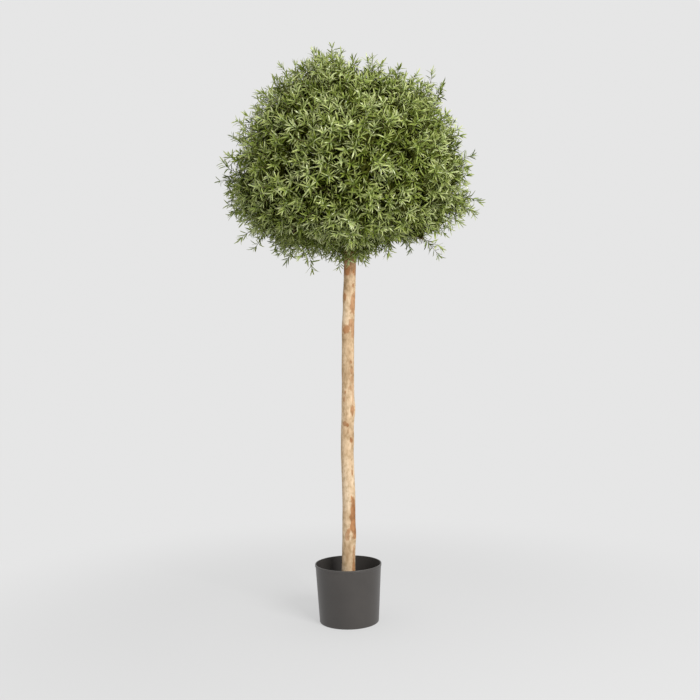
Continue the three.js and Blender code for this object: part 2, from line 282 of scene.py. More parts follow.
def make_pot():
    material, tree, surface = blank_material("pot_plastic")
    cloud = noise_on(tree, scale=14, detail=4)
    inside = point_value(tree, "inside")
    dull = add_node(tree, "ShaderNodeMath", {
        0: ramp(tree, cloud, POT_ROUGHNESS),
        1: ramp(tree, inside, POT_INSIDE_ROUGHNESS)}, operation="MAXIMUM")
    feed(surface, {
        # The base colour is darkened inside the pot as painted shade.
        "Base Color": mixed(tree, ramp(tree, cloud, POT_COLOURS), ramp(tree, inside, POT_INSIDE_PAINTED_SHADE)),
        "Roughness": dull.outputs["Value"],
        "Specular IOR Level": 0.65,
        "Normal": relief(tree, noise_on(tree, scale=900, detail=2), strength=0.12, distance=0.0004),
    })
    foot_edge, lip_foot_edge, lip_edge, brim_edge, inner_edge, floor_edge = POT_ROUNDINGS
    lip_foot = pot_height - POT_LIP_HEIGHT
    inner = pot_rim_radius - POT_LIP_OUT - POT_WALL
    profile = rounded([
        (POT_UNDERSIDE_RING, 0, 0), (POT_FOOT_RADIUS, 0, foot_edge),
        (pot_wall_radius(lip_foot), lip_foot, lip_foot_edge),
        (pot_rim_radius, lip_foot + POT_LIP_OUT, lip_edge),
        (pot_rim_radius, pot_height, brim_edge), (inner, pot_height, inner_edge),
        (pot_wall_radius(POT_FLOOR) - POT_WALL, POT_FLOOR, floor_edge), (POT_FLOOR_RING, POT_FLOOR, 0),
    ])
    shell = (lathe(profile, POT_SIDES), (0, 0, 0), (0, 0, POT_FLOOR))
    mesh = ringed_mesh("pot_moulding", [shell], material)
    brim = max(k for k, (_, z) in enumerate(profile) if z > pot_height - HAIR)
    within = np.repeat([float(k > brim) for k in range(len(profile))], POT_SIDES)
    give_points(mesh, "inside", [*within, 0, 1])
    link_piece("pot_moulding", mesh, ["pot"])


make_pot()

# Filler. A heavy dark cement is cast round the pole's foot, a few centimetres below the rim, and left rough
# where it was trowelled. It fills the pot's lower part and a socket in it holds the pole.

FILLER_LUMP = 0.0022
FILLER_NOISE = [(60, 0.75), (320, 0.25)]  # scale of the noise and its share, coarse and fine
FILLER_SIDES = 96
FILLER_RINGS = 26
FILLER_UNDERSIDE_RING = 0.02
FILLER_COLOURS = [(0.35, (0.016, 0.014, 0.011)), (0.7, (0.045, 0.039, 0.031))]
POLE_FOOT = 0.0483
POLE_FOOT_RADIUS = 0.0176
SOCKET_ROOM = 0.0006
SOCKET_FLOOR_RING = 0.005

filler_low, filler_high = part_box("filler")


def make_filler():
    material, tree, surface = blank_material("filler_cement")
    grit = noise_on(tree, scale=160, detail=6)
    feed(surface, {
        "Base Color": ramp(tree, grit, FILLER_COLOURS),
        "Roughness": 0.95,
        "Specular IOR Level": 0.2,
        "Normal": relief(tree, grit, strength=0.6, distance=0.001),
    })
    socket = POLE_FOOT_RADIUS + SOCKET_ROOM
    foot, top = filler_low.z, filler_high.z - FILLER_LUMP
    outer = pot_wall_radius(top) - POT_WALL - SOCKET_ROOM
    under = [(FILLER_UNDERSIDE_RING, foot), (pot_wall_radius(foot) - POT_WALL - SOCKET_ROOM, foot)]
    over = [(outer + (socket - outer) * k / FILLER_RINGS, top) for k in range(FILLER_RINGS + 1)]
    hole = [(socket, POLE_FOOT - SOCKET_ROOM), (SOCKET_FLOOR_RING, POLE_FOOT - SOCKET_ROOM)]
    rings = lathe(under + over + hole, FILLER_SIDES)
    for ring in rings[len(under):len(under) + len(over)]:
        for point in ring:
            place = Vector(point)
            rise = sum(share * noise.noise(place * scale) for scale, share in FILLER_NOISE)
            point[2] += FILLER_LUMP * rise
    cast = (rings, (0, 0, foot), (0, 0, POLE_FOOT - SOCKET_ROOM))
    mesh = ringed_mesh("filler_cast", [cast], material)
    link_piece("filler_cast", mesh, ["filler"])


make_filler()

# Pole. A natural stick, peeled by hand, so that pale wood shows and patches of reddish inner bark stay on it.
# It leans a little to the right, has grown-over knots, and its sawn foot is set in the filler. Its top keeps
# its bark.

POLE_TIP = 1.225
POLE_TIP_RADIUS = 0.0146
POLE_SIDES = 72
POLE_RINGS = 440
# The middle line: height, and the way off the pot's axis to the right and back.
POLE_LINE = [
    (POLE_FOOT, 0, 0), (0.106, 0, 0), (0.310, 0.005, 0.0015), (0.440, 0.0035, 0.002), (0.570, 0.008, 0),
    (0.725, 0.0115, -0.002), (0.906, 0.020, 0), (1.060, 0.024, 0.001), (POLE_TIP, 0.026, 0),
]
POLE_LINE_STEPS = 40
# Knots: height, turn round the pole from the right, and how far each stands out.
KNOTS = [(0.222, -30, 0.0024), (0.383, -95, 0.0012), (0.468, -25, 0.0016), (0.545, -8, 0.0032),
         (0.757, -150, 0.0020), (0.842, 200, 0.0014)]
KNOT_SPREAD = 0.024
# Waves of its surface: height, and how fine they are round the pole and along it.
POLE_WAVES = [(0.0005, 1.2, 22), (0.00022, 5, 45)]
# Patches of bark left on: height, turn, half its height, half its width, and how dark it is.
BARK_PATCHES = [
    (0.276, -48, 0.052, 0.0092, 0.96), (0.246, -42, 0.034, 0.0092, 0.84), (0.232, -25, 0.018, 0.0050, 0.66),
    (0.221, -103, 0.012, 0.0062, 0.62), (0.234, -96, 0.007, 0.0050, 0.80), (0.182, -40, 0.016, 0.0044, 0.66),
    (0.142, -38, 0.026, 0.0054, 0.88), (0.118, -78, 0.010, 0.0120, 0.36),
    (0.511, -118, 0.006, 0.0070, 0.72), (0.508, -88, 0.004, 0.0034, 0.95), (0.493, -82, 0.006, 0.0030, 0.34),
    (0.468, -54, 0.0068, 0.0046, 0.95), (0.384, -52, 0.008, 0.0020, 0.96), (0.545, -48, 0.013, 0.0062, 0.80),
    (0.600, -40, 0.055, 0.0034, 0.46), (0.649, -50, 0.010, 0.0050, 0.55), (0.629, -55, 0.008, 0.0055, 0.50),
    (0.602, -62, 0.006, 0.0040, 0.60),
    (0.574, -126, 0.007, 0.0030, 0.62), (0.593, -116, 0.003, 0.0026, 0.80), (0.604, -76, 0.004, 0.0034, 0.42),
    (0.636, -160, 0.014, 0.0034, 0.50), (0.672, -60, 0.005, 0.0034, 0.72), (0.700, -38, 0.004, 0.0020, 0.5),
    (0.756, -40, 0.023, 0.0080, 0.66), (0.7545, -102, 0.0102, 0.0094, 0.88),
    (0.762, -134, 0.006, 0.0050, 0.45), (0.770, -69, 0.0105, 0.0062, 0.76), (0.820, -43, 0.027, 0.0104, 0.78),
    (0.842, -30, 0.012, 0.0060, 0.70), (0.840, -133, 0.010, 0.0050, 0.85), (0.868, -53, 0.0075, 0.0026, 0.95),
    (0.904, -118, 0.010, 0.0080, 1.0), (0.905, -50, 0.006, 0.0030, 1.0),
    (0.250, 60, 0.050, 0.0080, 0.60), (0.350, 130, 0.030, 0.0060, 0.62), (0.430, 75, 0.012, 0.0050, 0.70),
    (0.500, 160, 0.024, 0.0050, 0.55), (0.560, 100, 0.030, 0.0065, 0.60), (0.650, 50, 0.018, 0.0040, 0.62),
    (0.690, 120, 0.026, 0.0055, 0.60), (0.780, 80, 0.030, 0.0070, 0.64), (0.840, 140, 0.014, 0.0048, 0.70),
    (0.180, 110, 0.020, 0.0060, 0.50), (0.320, 20, 0.016, 0.0040, 0.60), (0.600, 15, 0.020, 0.0040, 0.50),
]
BARK_LIFT = 0.0004
BARK_ARM = 0.0165  # the radius on which the half widths are measured
BARK_WEAVE = (1.3, 40)  # how fine the ragged edges are round the pole and along it
BARK_RAGS = [(1.6, 0.55), (4.5, 0.3)]  # scale of the noise and its share
BARK_RAGGED = 0.85  # how far the rags shift an edge, as a share of the patch
BARK_FADE = 0.12
BARK_SPAN = 1.6  # a patch and its rags end within this many half heights
BARK_COLLAR = 0.893  # above this the bark was left on, up into the crown
COLLAR_RAGGED = 0.012
COLLAR_FADE = 0.004
COLLAR_SHADES = (0.66, 0.26)  # how dark at least, and how much more in its blotches
COLLAR_BLOTCH = (0.8, 0.45, 0.62)  # scale of the noise, and where a blotch starts and is full
BARK_ON_ENDS = (0, 0.5)  # how brown the sawn foot and top are
WOOD_COLOURS = [(0.30, (0.34, 0.222, 0.112)), (0.46, (0.53, 0.395, 0.248)),
                (0.62, (0.63, 0.503, 0.348)), (0.8, (0.67, 0.568, 0.432))]
INNER_BARK_COLOURS = [(0.3, (0.25, 0.106, 0.036)), (0.7, (0.405, 0.197, 0.074))]
WOOD_DAPPLE = [(0.34, (0.76, 0.70, 0.60)), (0.50, (0.98, 0.94, 0.90)), (0.66, (1.10, 1.06, 1.04))]
WOOD_STREAKS = [(0.3, (0.70, 0.64, 0.58)), (0.62, (1, 1, 1))]
WOOD_ROUGHNESS = [(0.3, 0.78), (0.7, 0.6)]


def centripetal(points, steps):
    """A smooth line through points, with steps between each two."""
    knots = [np.array(p, float) for p in points]
    knots = [2 * knots[0] - knots[1], *knots, 2 * knots[-1] - knots[-2]]
    line = []
    for before, start, end, after in zip(knots, knots[1:], knots[2:], knots[3:]):
        gap0, gap1, gap2 = (np.linalg.norm(b - a) ** 0.5 for a, b in
                            ((before, start), (start, end), (end, after)))
        leave = ((start - before) / gap0 - (end - before) / (gap0 + gap1) + (end - start) / gap1) * gap1
        arrive = ((end - start) / gap1 - (after - start) / (gap1 + gap2) + (after - end) / gap2) * gap1
        for t in np.linspace(0, 1, steps, endpoint=False):
            line.append(start + leave * t + (3 * (end - start) - 2 * leave - arrive) * t ** 2
                        + (2 * (start - end) + leave + arrive) * t ** 3)
    return np.array([*line, knots[-2]])


pole_path = centripetal([(x, y, z) for z, x, y in POLE_LINE], POLE_LINE_STEPS)


def pole_at(z):
    return np.array([np.interp(z, pole_path[:, 2], pole_path[:, 0]),
                     np.interp(z, pole_path[:, 2], pole_path[:, 1]), z])


def pole_radius(z):
    return POLE_FOOT_RADIUS + (POLE_TIP_RADIUS - POLE_FOOT_RADIUS) * (z - POLE_FOOT) / (POLE_TIP - POLE_FOOT)


def smooth_step(low, high, value):
    share = min(1, max(0, (value - low) / (high - low)))
    return share * share * (3 - 2 * share)


def bark_at(z, turn):
    """How much bark is left at a place on the pole, from 0 to 1."""
    around, along = BARK_WEAVE
    ragged = Vector((math.cos(turn) * around, math.sin(turn) * around, z * along))
    edge = sum(share * noise.noise(ragged * scale) for scale, share in BARK_RAGS)
    most = 0
    for height, middle, half_height, half_width, dark in BARK_PATCHES:
        if abs(z - height) > half_height * BARK_SPAN:
            continue
        off = (turn - math.radians(middle) + math.pi) % (2 * math.pi) - math.pi
        far = math.hypot((z - height) / half_height, off * BARK_ARM / half_width)
        most = max(most, dark * smooth_step(1 + BARK_FADE, 1 - BARK_FADE, far + edge * BARK_RAGGED))
    collar = smooth_step(BARK_COLLAR - COLLAR_FADE, BARK_COLLAR + COLLAR_FADE, z + edge * COLLAR_RAGGED)
    scale, start, full = COLLAR_BLOTCH
    blotch = smooth_step(start, full, 0.5 + 0.5 * noise.noise(ragged * scale))
    return max(most, collar * (COLLAR_SHADES[0] + COLLAR_SHADES[1] * blotch))


def make_pole():
    material, tree, surface = blank_material("peeled_wood")
    fibre = noise_on(tree, scale=260, detail=5, stretch=(1, 1, 0.06))
    cloud = noise_on(tree, scale=34, detail=4, stretch=(1, 1, 0.45))
    speckle = noise_on(tree, scale=120, detail=2, stretch=(1, 1, 0.7))
    stained = mixed(tree, ramp(tree, cloud, WOOD_COLOURS), ramp(tree, cloud, INNER_BARK_COLOURS),
                    share=point_value(tree, "bark"), blend="MIX")
    dappled = mixed(tree, stained, ramp(tree, speckle, WOOD_DAPPLE))
    feed(surface, {
        "Base Color": mixed(tree, dappled, ramp(tree, fibre, WOOD_STREAKS), share=0.35),
        "Roughness": ramp(tree, fibre, WOOD_ROUGHNESS),
        "Specular IOR Level": 0.35,
        "Normal": relief(tree, fibre, strength=0.5, distance=0.0006),
    })
    turns = np.linspace(0, 2 * math.pi, POLE_SIDES, endpoint=False)
    rings, bark_left = [], []
    for z in np.linspace(POLE_FOOT, POLE_TIP, POLE_RINGS):
        middle = pole_at(z)
        ring = []
        for turn in turns:
            radius = pole_radius(z)
            for height, facing, size in KNOTS:
                towards = max(0, math.cos(turn - math.radians(facing)))
                radius += size * towards ** 3 * math.exp(-((z - height) / KNOT_SPREAD) ** 2)
            around = Vector((math.cos(turn), math.sin(turn), 0))
            for wave, fine_round, fine_along in POLE_WAVES:
                radius += wave * noise.noise(around * fine_round + Vector((0, 0, z * fine_along)))
            left = bark_at(z, turn)
            radius += BARK_LIFT * left
            bark_left.append(left)
            ring.append((middle[0] + radius * around.x, middle[1] + radius * around.y, z))
        rings.append(ring)
    stick = (np.array(rings), pole_at(POLE_FOOT), pole_at(POLE_TIP))
    mesh = ringed_mesh("peeled_pole", [stick], material)
    give_points(mesh, "bark", [*bark_left, *BARK_ON_ENDS])
    link_piece("peeled_pole", mesh, ["trunk"])


make_pole()

# Boughs. Short thick limbs, wired and wrapped in brown bark paper, are pushed into holes round the pole's top
# in three rings, level at first and then turned to the mass of foliage that each carries.

HUB = np.array([0.024, 0, 1.120])
# Each ring: how many boughs, the slope of their masses, the first one's turn, and its height on the pole.
RINGS = [("low", 7, -25, 12, 1.030), ("mid", 6, 12, 38, 1.098), ("high", 4, 47, 5, 1.158)]
POLE_GAP = 0.0003
BOUGH_REACH = 0.142
BOUGH_RADII = (0.0070, 0.0046)
BOUGH_BEND = 0.5
BOUGH_SIDES = 14
BOUGH_STEPS = 22
BARK_RIDGE = 0.0009
# Scales of the ridges' noise along a bough and round it, and its share.
RIDGE_NOISE = [(90, 1.1, 1), (260, 2.5, 0.5)]
BOUGH_COLOURS = [(0.3, (0.055, 0.030, 0.018)), (0.7, (0.165, 0.094, 0.052))]


def direction(turn, slope):
    return np.array([math.cos(slope) * math.cos(turn), math.cos(slope) * math.sin(turn), math.sin(slope)])


def aimed(turn, slope):
    """The same from degrees."""
    return direction(math.radians(turn), math.radians(slope))


def bezier(points, shares):
    """Places on a curve of three or four control points, at shares of the way from 0 to 1."""
    t = np.asarray(shares, float)[:, None]
    if len(points) == 3:
        a, b, c = points
        return a * (1 - t) ** 2 + 2 * b * t * (1 - t) + c * t ** 2
    a, b, c, d = points
    return a * (1 - t) ** 3 + 3 * b * t * (1 - t) ** 2 + 3 * c * t ** 2 * (1 - t) + d * t ** 3


def make_masses():
    """The masses of foliage, each with the bough that carries it, and last the one on the pole's own tip."""
    masses = []
    for ring, count, slope, first, fork in RINGS:
        for i in range(count):
            turn = math.radians(first + 360 / count * i)
            axis = direction(turn, math.radians(slope))
            outward = direction(turn, 0)
            start = pole_at(fork) + outward * (pole_radius(fork) + POLE_GAP)
            end = HUB + axis * BOUGH_REACH
            bend = start + outward * (np.dot(end - start, outward) * BOUGH_BEND)
            way = (end - bend) / np.linalg.norm(end - bend)
            masses.append({"name": f"{ring}_{i + 1}", "ring": ring, "turn": turn, "axis": axis,
                           "bough": (start, bend, end), "entry": end + way * POLE_GAP, "way": way})
    up = np.array([0, 0, 1.0])
    masses.append({"name": "top", "ring": "top", "axis": up,
                   "entry": pole_at(POLE_TIP) + up * POLE_GAP, "way": up})
    return masses


masses = make_masses()


def bough_rings(path, radii):
    """Rings of points round a bough's middle line, with a ridged surface."""
    along = np.gradient(path, axis=0)
    along /= np.linalg.norm(along, axis=1)[:, None]
    side = np.cross(along[0], (0, 0, 1.0))
    rings = []
    for place, way, radius in zip(path, along, radii):
        side = side - way * np.dot(side, way)
        side /= np.linalg.norm(side)
        up = np.cross(way, side)
        ring = []
        for turn in np.linspace(0, 2 * math.pi, BOUGH_SIDES, endpoint=False):
            out = side * math.cos(turn) + up * math.sin(turn)
            rough = sum(share * noise.noise(Vector(place * fine_along + out * fine_round))
                        for fine_along, fine_round, share in RIDGE_NOISE)
            ring.append(place + out * (radius + BARK_RIDGE * rough))
        rings.append(ring)
    return np.array(rings)


def bark_material(name, colours):
    material, tree, surface = blank_material(name)
    flake = noise_on(tree, scale=240, detail=5)
    feed(surface, {
        "Base Color": ramp(tree, flake, colours),
        "Roughness": 0.85,
        "Specular IOR Level": 0.25,
        "Normal": relief(tree, flake, strength=0.5, distance=0.0006),
    })
    return material


def make_boughs():
    limbs = []
    shares = np.linspace(0, 1, BOUGH_STEPS)
    for mass in masses[:-1]:
        path = bezier(mass["bough"], shares)
        limbs.append((bough_rings(path, np.interp(shares, (0, 1), BOUGH_RADII)), path[0], path[-1]))
    mesh = ringed_mesh("boughs", limbs, bark_material("bough_bark", BOUGH_COLOURS))
    link_piece("boughs", mesh, [f"bough_{mass['name']}" for mass in masses[:-1]])


make_boughs()

# Twigs. Each bough runs on as a stem to a fork, where paper-wrapped wires part and spread over the crown.
# They reach within a hand's breadth of its surface, evenly over all of it, and a few strays stand out of the
# outline.

FORK_REACH = 0.182
STEM_LEAN = 0.016
STEM_END_RADIUS = 0.0038
STEM_STEPS = 7
TWIG_COUNT = 100
TWIG_TRIES = 40
TWIG_LEAN = 0.45
TWIG_BEND = 0.3
TWIG_LEAST, TWIG_SPREAD = 0.96, 0.04  # shares of the reach
TWIG_SHORT = 0.076  # the twigs end this far below the reach of the leaf tips
TWIG_RADII = (0.0026, 0.0011)
TWIG_STEPS = 9
TWIG_SIDES = 6
TWIG_COLOURS = [(0.3, (0.050, 0.026, 0.014)), (0.7, (0.150, 0.082, 0.042))]
COLLAR_SLOPE = math.radians(-77)  # one twig of each low mass hangs beside the pole
TWIG_LOWEST = COLLAR_SLOPE + math.radians(10)  # the others stay above this
# Stray twigs, whose sprigs stick out of the outline: turn, slope and reach.
STRAYS = [(-8, -39, 0.312), (176, -24, 0.335), (188, 78, 0.390), (2, -7, 0.350), (177, 5, 0.353)]
# How far the leaf tips reach from the hub at even steps from straight down to straight up, on each side.
REACH_RIGHT = (0.220, 0.212, 0.276, 0.336, 0.342, 0.362, 0.362)
REACH_LEFT = (0.220, 0.234, 0.304, 0.344, 0.350, 0.376, 0.380)
SEED = 20

for mass in masses:
    mass["fork"] = HUB + mass["axis"] * FORK_REACH
    mass["stem"] = (mass["entry"], mass["entry"] + mass["way"] * STEM_LEAN, mass["fork"])


def seeded_random(seed):
    state = seed

    def draw():
        nonlocal state
        state = (state + 0x6D2B79F5) & 0xFFFFFFFF
        t = (state ^ (state >> 15)) * (1 | state) & 0xFFFFFFFF
        t = ((t + (t ^ (t >> 7)) * (61 | t)) & 0xFFFFFFFF) ^ t
        return ((t ^ (t >> 14)) & 0xFFFFFFFF) / 4294967296

    return draw


def reach_curve(reaches, steps):
    """Catmull-Rom through the reaches, read at steps from 0 to 1."""
    last = len(reaches) - 1
    places = np.clip(steps, 0, 1) * last
    start = np.minimum(places.astype(int), last)
    t = places - start
    values = np.array(reaches)
    before, here = values[np.maximum(start - 1, 0)], values[start]
    ahead, after = values[np.minimum(start + 1, last)], values[np.minimum(start + 2, last)]
    leave, arrive = (ahead - before) / 2, (after - here) / 2
    return ((2 * here - 2 * ahead + leave + arrive) * t ** 3
            + (3 * ahead - 3 * here - 2 * leave - arrive) * t ** 2 + leave * t + here)


def reach_along(units):
    units = np.atleast_2d(units)
    steps = 0.5 + np.arcsin(np.clip(units[:, 2], -1, 1)) / math.pi
    flat = np.maximum(np.hypot(units[:, 0], units[:, 1]), HAIR)
    right, left = reach_curve(REACH_RIGHT, steps), reach_curve(REACH_LEFT, steps)
    return left + (right - left) * (0.5 + 0.5 * units[:, 0] / flat)


def spread_units(count, tries, draw, lowest):
    """Directions of which each is the one, of some tries, whose end is furthest from those before it."""
    ends = np.empty((0, 3))
    while len(ends) < count:
        tried = []
        for _ in range(tries):
            turn, height = 2 * math.pi * draw(), 2 * draw() - 1
            if height >= math.sin(lowest):
                tried.append(direction(turn, math.asin(height)))
        tried = np.array(tried)
        reached = tried * reach_along(tried)[:, None]
        best = 0
        if len(ends):
            room = np.sqrt(((reached[:, None] - ends[None]) ** 2).sum(-1)).min(1)
            best = int(np.argmax(room))
        ends = np.vstack([ends, reached[best]])
        yield tried[best]


def twig_tips():
    draw = seeded_random(SEED)
    tips = []
    for unit in spread_units(TWIG_COUNT, TWIG_TRIES, draw, TWIG_LOWEST):
        tips.append((unit, reach_along(unit)[0] * (TWIG_LEAST + TWIG_SPREAD * draw())))
    for mass in masses:
        if mass["ring"] == "low":
            unit = direction(mass["turn"], COLLAR_SLOPE)
            tips.append((unit, reach_along(unit)[0]))
    tips += [(aimed(turn, slope), reach) for turn, slope, reach in STRAYS]
    return tips


axes = np.array([mass["axis"] for mass in masses])


def make_twig_lines():
    """The direction of each twig's tip, and the line from its fork to there."""
    units, lines = [], []
    for unit, reach in twig_tips():
        mass = masses[int(np.argmax(axes @ unit))]
        fork, tip = mass["fork"], HUB + unit * (reach - TWIG_SHORT)
        bend = fork + mass["axis"] * (np.linalg.norm(tip - fork) * TWIG_LEAN)
        units.append(unit)
        lines.append((fork, bend + (tip - bend) * TWIG_BEND, tip))
    return np.array(units), lines


twig_units, twigs = make_twig_lines()


def start_tree(name, output, **inputs):
    """A tree of nodes with named inputs and one output, and what its inputs give."""
    tree = bpy.data.node_groups.new(name, "GeometryNodeTree")
    for key, kind in inputs.items():
        tree.interface.new_socket(key, in_out="INPUT", socket_type=f"NodeSocket{kind}")
    tree.interface.new_socket(output, in_out="OUTPUT", socket_type="NodeSocketGeometry")
    return tree, add_node(tree, "NodeGroupInput").outputs


def end_tree(tree, geometry, finish):
    """Makes the geometry one plain mesh with its finish, and hands it out."""
    whole = add_node(tree, "GeometryNodeRealizeInstances", {"Geometry": geometry})
    done = add_node(tree, "GeometryNodeSetMaterial", {
        "Geometry": whole.outputs["Geometry"], "Material": finish})
    add_node(tree, "NodeGroupOutput", {0: done.outputs["Geometry"]})
    return tree


def carried(tree, name, kind):
    """What each point of the seed mesh carries under a name."""
    node = add_node(tree, "GeometryNodeInputNamedAttribute", {"Name": name}, data_type=kind)
    return node.outputs["Attribute"]


def wire_tree():
    """Gives each path of edges a round wire's thickness, from its points' own radius."""
    tree, given = start_tree("wires", "Wires", Paths="Geometry", Sides="Int", Finish="Material")
    line = add_node(tree, "GeometryNodeMeshToCurve", {"Mesh": given["Paths"]})
    circle = add_node(tree, "GeometryNodeCurvePrimitiveCircle", {"Resolution": given["Sides"], "Radius": 1})
    sweep = add_node(tree, "GeometryNodeCurveToMesh", {
        "Curve": line.outputs["Curve"], "Profile Curve": circle.outputs["Curve"],
        "Scale": carried(tree, "thickness", "FLOAT"), "Fill Caps": True})
    return end_tree(tree, sweep.outputs["Mesh"], given["Finish"])


wires = wire_tree()


def grown_mesh(name, seed_mesh, tree, **inputs):
    """The plain mesh that a tree of nodes grows from a seed mesh."""
    holder = placed(name, seed_mesh)
    modifier = holder.modifiers.new("grow", "NODES")
    modifier.node_group = tree
    sockets = {item.name: item.identifier for item in tree.interface.items_tree if item.in_out == "INPUT"}
    for key, value in inputs.items():
        modifier[sockets[key]] = value
    grown = bpy.data.meshes.new_from_object(holder.evaluated_get(bpy.context.evaluated_depsgraph_get()))
    holder.modifiers.clear()
    bpy.data.objects.remove(holder)
    bpy.data.meshes.remove(seed_mesh)
    grown.name = name
    return grown


foliage_nodes = [f"foliage_{mass['name']}" for mass in masses]


def make_wires(name, groups, sides, finish):
    """A piece of round wires along lines, in groups that share their end radii and number of points."""
    points, edges, thickness = [], [], []
    for lines, radii, count in groups:
        shares = np.linspace(0, 1, count)
        for line in lines:
            edges += [(len(points) + k, len(points) + k + 1) for k in range(count - 1)]
            points += bezier(line, shares).tolist()
            thickness += np.interp(shares, (0, 1), radii).tolist()
    paths = bpy.data.meshes.new(f"{name}_paths")
    paths.from_pydata(points, edges, [])
    give_points(paths, "thickness", thickness)
    link_piece(name, grown_mesh(name, paths, wires, Sides=sides, Finish=finish), foliage_nodes)


def make_twigs():
    stems = ([mass["stem"] for mass in masses], (BOUGH_RADII[1], STEM_END_RADIUS), STEM_STEPS)
    spread = (twigs, TWIG_RADII, TWIG_STEPS)
    make_wires("twigs", [stems, spread], TWIG_SIDES, bark_material("twig_bark", TWIG_COLOURS))


make_twigs()

# Sprigs. Some two thousand thin green-brown wires leave the twigs and turn outward, evenly over the crown, in
# clumps round each twig with hollows between. They droop under the crown and lift at its sides.

SPRIG_COUNT = 2200
# How far most sprigs come, as a share of the reach, at even steps from straight down to straight up.
FULLNESS = (0.97, 0.93, 0.955, 0.975, 0.975, 0.945, 0.935)
# Fuller and thinner places of the crown: turn, slope, half-width and how far out, in degrees and metres.
SWELLS = [
    (0, -70, 8, -0.020), (0, -52, 13, -0.040), (-42, -42, 14, -0.024), (42, -42, 14, -0.030),
    (0, -38, 8, 0.004), (0, -60, 6, 0.020),
    (0, -10, 10, 0.046), (0, 2, 6, -0.050), (15, 2, 7, -0.030), (-15, 2, 7, -0.022), (0, 22, 16, -0.026),
    (0, 44, 9, -0.026), (0, 62, 8, 0.006), (0, 78, 18, -0.030), (-60, 75, 12, -0.026), (60, 75, 12, -0.026),
    (180, 80, 10, 0.040), (180, 70, 10, -0.014), (180, 47, 15, -0.028), (180, 22, 15, -0.044),
    (180, 10, 7, -0.048), (180, -28, 11, -0.078), (138, -44, 14, -0.046), (222, -44, 14, -0.046),
    (180, -50, 9, -0.022), (180, -17, 5, -0.008), (180, -37, 5, 0.026), (180, -60, 5, 0.058),
    (180, -70, 10, -0.116), (-125, -66, 12, -0.030), (125, -66, 12, -0.030), (180, -82, 6, 0.026),
    (-125, 10, 7, -0.030), (-100, -8, 6, -0.024), (-70, 32, 7, -0.020), (-45, -12, 7, -0.022),
    (-110, 48, 8, -0.020), (-60, 4, 9, 0.010), (-140, -14, 8, 0.010), (-90, 22, 8, 0.008),
    (90, 10, 9, -0.024), (60, 40, 8, -0.020), (130, 30, 9, -0.022), (110, -20, 9, 0.014), (45, -5, 8, -0.020),
    (-87, 11, 7, 0.013), (-117, 3, 5, -0.024), (-118, -13, 5, -0.024),
]
# Long single sprigs that stand or hang out of it: turn, slope and reach.
LONG_SPRIGS = [
    (0, -38, 0.304), (-8, -35, 0.298), (2, -13, 0.348), (9, -10, 0.354), (-12, -9, 0.350), (0, 47, 0.376),
    (-12, 52, 0.374), (180, 84, 0.386), (178, 62, 0.380), (168, 57, 0.376), (180, 25, 0.347), (177, 5, 0.356),
    (184, -24, 0.326), (175, -30, 0.312), (180, -64, 0.248), (-100, 76, 0.350), (-62, 66, 0.340),
    (90, 60, 0.385), (80, -30, 0.320), (110, 5, 0.362), (60, 18, 0.358), (-90, -36, 0.300), (140, -36, 0.300),
    (50, -28, 0.312), (-140, -48, 0.262), (0, -60, 0.212), (-28, -57, 0.216), (24, -58, 0.214),
    (-100, -80, 0.209), (-72, -80, 0.203), (-128, -80, 0.206), (0, -80, 0.209), (180, -81, 0.219),
    (90, -79, 0.204), (150, -79, 0.198), (-34, -79, 0.200), (60, -78, 0.200), (-155, -78, 0.200),
    (-85, -77, 0.196), (-112, -76, 0.196),
]
SPRIG_TRIES = 12
SPRIG_LOWEST = math.radians(-80)
TUFT_HEIGHT = 0.016  # from a wire's end to the tips of its last leaves
SPRIG_SHORT = 0.12  # they end short by up to this share of the reach
SPRIG_FALL = 0.7  # and by this share times the square of the angle from their twig
PROUD_PART, PROUD_REACH = 0.13, 0.055  # how many stand proud instead, and by what share at most
SPRIG_LIMIT = (1.01, 0.010)  # the furthest: a share of the reach, and metres more
# Where they leave the twig: the furthest share of it, less by angle and by chance, and the nearest share.
LEAVE_AT, LEAVE_BY_ANGLE, LEAVE_BY_CHANCE, LEAVE_NEAREST = 0.98, 2.0, 0.25, 0.35
LOOK_BACK = 0.05  # the share of a line over which its way is read
SPRIG_STRAY = 0.40
# How much they lift, or droop, by the height of their direction.
SPRIG_LIFT = ((-1, -0.45, 0.05, 0.45, 1), (-0.1, -0.4, -0.2, 0.15, 0))
SPRIG_BENDS = (0.3, 0.42)  # how far each end pulls on the bend, as a share of the length
SPRIG_RADII = (0.0010, 0.0006)
SPRIG_STEPS = 8
SPRIG_SIDES = 3
SPRIG_COLOURS = [(0.3, (0.070, 0.050, 0.022)), (0.7, (0.150, 0.120, 0.045))]
POLE_CLEAR = 0.018  # what their outer parts, at these shares, keep from the pole's middle line
CLEAR_PLACES = (0.6, 0.8, 1.0)

SWELL_MIDDLES = np.array([aimed(turn, slope) for turn, slope, _, _ in SWELLS])
SWELL_WIDTHS = np.radians([width for _, _, width, _ in SWELLS])
SWELL_OUTS = np.array([out for *_, out in SWELLS])


def crown_reach(units):
    """How far most sprigs come in each direction, with the fuller and thinner places."""
    units = np.atleast_2d(units)
    slopes = np.arcsin(np.clip(units[:, 2], -1, 1))
    fullness = np.interp(slopes, np.linspace(-math.pi / 2, math.pi / 2, len(FULLNESS)), FULLNESS)
    off = np.arccos(np.clip(units @ SWELL_MIDDLES.T, -1, 1)) / SWELL_WIDTHS
    return reach_along(units) * fullness + (SWELL_OUTS * np.exp(-off ** 2)).sum(1)


